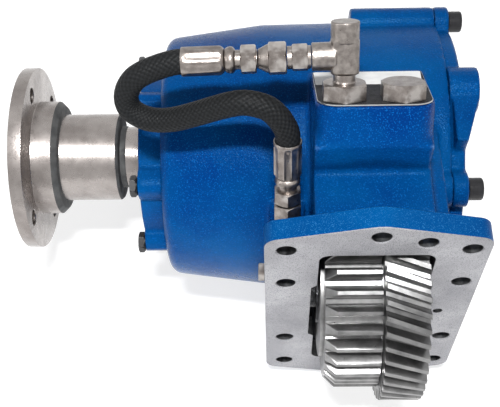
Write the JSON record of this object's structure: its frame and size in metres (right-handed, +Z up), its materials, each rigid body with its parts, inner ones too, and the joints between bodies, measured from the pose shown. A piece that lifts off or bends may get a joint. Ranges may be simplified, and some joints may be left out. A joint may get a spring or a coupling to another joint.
{
  "type": "power take off unit",
  "caption": "Side-mount power take off: gears through an opening drive a hydraulic clutch, shaft and companion flange.",
  "frame": {"origin": "centre of the gearbox opening on the mounting face", "axes": "+X along the shafts from the companion flange to the rear cover, +Y from the mounting face into the unit, +Z up in the plane of the mounting face"},
  "size_m": [0.3616, 0.3345, 0.3347],
  "materials": {
    "painted_body": "gloss paint over rough casting",
    "machined_steel": "machined, oiled",
    "plated_steel": "dull plating",
    "black_steel": "black finish",
    "black_rubber": "matte",
    "bronze": "satin"
  },
  "bodies": {
    "housing": {"branch_adapter": "plated_steel", "cap_bolt_1": "black_steel", "cap_bolt_2": "black_steel", "cap_bolt_3": "black_steel", "cap_bolt_4": "black_steel", "cap_bolt_5": "black_steel", "cap_bolt_6": "black_steel", "cap_bolt_7": "black_steel", "cover_screw_1": "black_steel", "cover_screw_2": "black_steel", "cover_screw_3": "black_steel", "cover_screw_4": "black_steel", "cover_screw_5": "black_steel", "cover_screw_6": "black_steel", "front_bearing": "machined_steel", "front_cap": "painted_body", "gallery_plug": "plated_steel", "hose": "black_rubber", "housing": "painted_body", "idler_shaft": "machined_steel", "label_plate": "black_steel", "lock_pin": "black_steel", "lower_nipple": "plated_steel", "lower_port_adapter": "plated_steel", "lower_socket": "plated_steel", "output_seal": "black_rubber", "port_adapter": "plated_steel", "port_plug": "plated_steel", "rear_bearing": "machined_steel", "rear_centre_plug": "painted_body", "rear_cover": "painted_body", "tee_fitting": "plated_steel", "thrust_washer_left": "machined_steel", "thrust_washer_right": "machined_steel", "upper_nipple": "plated_steel", "upper_socket": "plated_steel", "upper_swivel_nut": "plated_steel"},
    "input": {"spur_gear": "machined_steel", "helical_gear": "machined_steel", "needle_bush_left": "machined_steel", "needle_bush_right": "machined_steel"},
    "driven_gear": {"clutch_gear": "machined_steel", "gear_bush": "bronze", "friction_disc_1": "bronze", "friction_disc_2": "bronze", "friction_disc_3": "bronze"},
    "output": {"output_shaft": "machined_steel", "companion_flange": "machined_steel", "flange_nut": "machined_steel", "flange_washer": "machined_steel", "clutch_drum": "machined_steel", "steel_disc_1": "machined_steel", "steel_disc_2": "machined_steel", "steel_disc_3": "machined_steel", "backing_plate": "machined_steel", "snap_ring": "machined_steel", "return_spring": "machined_steel", "spring_retainer": "machined_steel"},
    "piston": {"clutch_piston": "machined_steel"}
  },
  "joints": [
    {"name": "input_spin", "type": "hinge", "parent": "housing", "child": "input", "pos_m": [0, 0.0192, 0], "axis": [1, 0, 0], "continuous": true},
    {"name": "driven_gear_spin", "type": "hinge", "parent": "housing", "child": "driven_gear", "pos_m": [0, 0.14602, 0], "axis": [1, 0, 0], "continuous": true},
    {"name": "output_spin", "type": "hinge", "parent": "housing", "child": "output", "pos_m": [0, 0.14602, 0], "axis": [1, 0, 0], "continuous": true},
    {"name": "piston_slide", "type": "slide", "parent": "output", "child": "piston", "axis": [1, 0, 0], "range_m": [0, 0.0022], "deforming": ["return_spring"]}
  ],
  "couplings": [
    {"joint": "driven_gear_spin", "follows": "input_spin", "ratio": -1.28}
  ]
}
